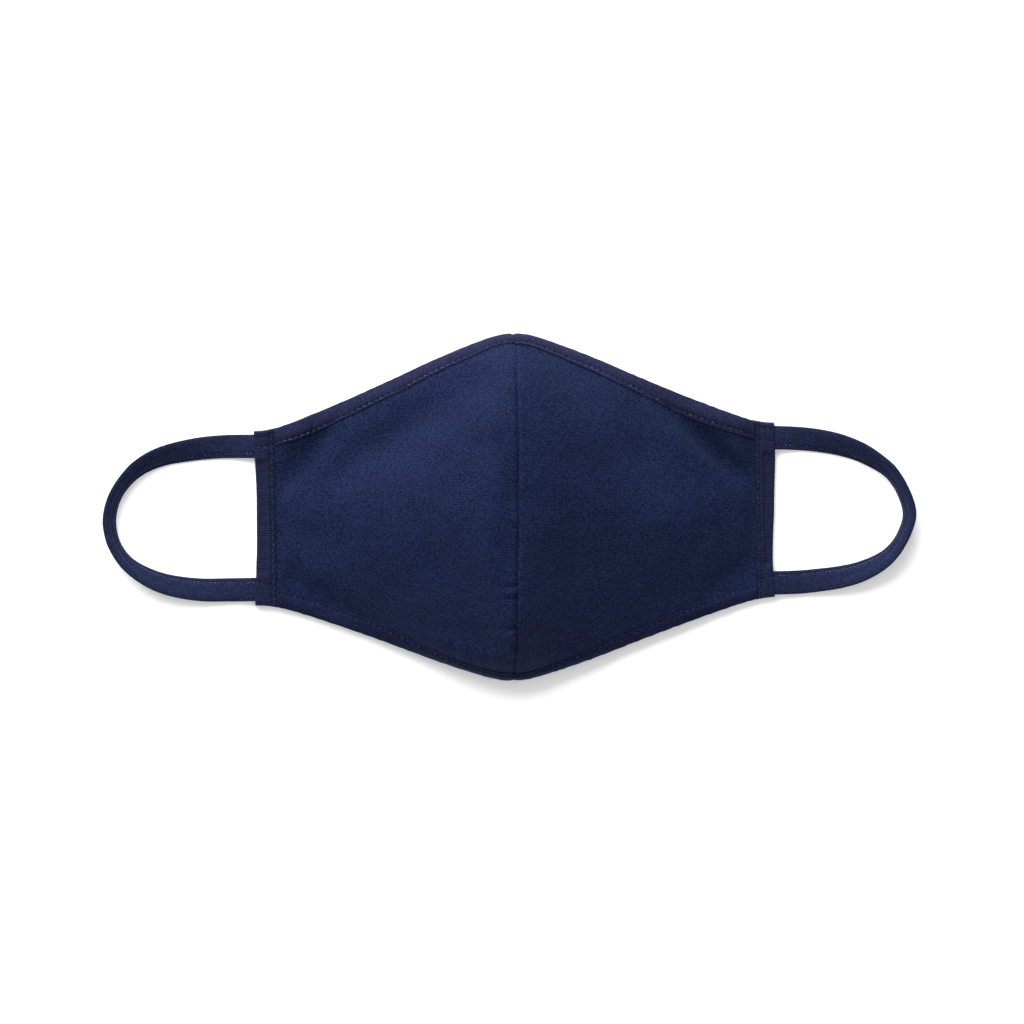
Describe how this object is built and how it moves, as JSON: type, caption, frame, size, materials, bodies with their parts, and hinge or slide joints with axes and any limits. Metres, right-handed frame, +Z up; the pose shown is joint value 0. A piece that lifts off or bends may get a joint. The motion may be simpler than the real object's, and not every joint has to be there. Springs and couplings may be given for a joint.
{
  "type": "cloth face mask",
  "caption": "Reusable cloth face mask with two curved panels joined at a centre seam, bound edges, folded side hems and flat cloth ear loops, lying hollow side down.",
  "frame": {"origin": "on the table, under the middle of the whole mask's box, ear loops included", "axes": "+X across the mask towards the wearer's left ear, +Y towards the nose edge, +Z up from the table, out of the mask's front"},
  "size_m": [0.325, 0.1388, 0.037],
  "materials": {
    "panel_cloth": "matt navy cotton jersey with a fine knit",
    "binding_cloth": "matt navy jersey binding, ribbed along its length",
    "hem_cloth": "matt navy jersey, folded and finely ribbed",
    "strap_cloth": "soft navy jersey strap, folded and stitched along its inner edge"
  },
  "bodies": {
    "root": {"panel_left": "panel_cloth", "panel_right": "panel_cloth", "nose_binding_left": "binding_cloth", "nose_binding_right": "binding_cloth", "chin_binding_left": "binding_cloth", "chin_binding_right": "binding_cloth", "side_hem_left": "hem_cloth", "side_hem_right": "hem_cloth", "ear_loop_left": "strap_cloth", "ear_loop_right": "strap_cloth"}
  },
  "joints": []
}
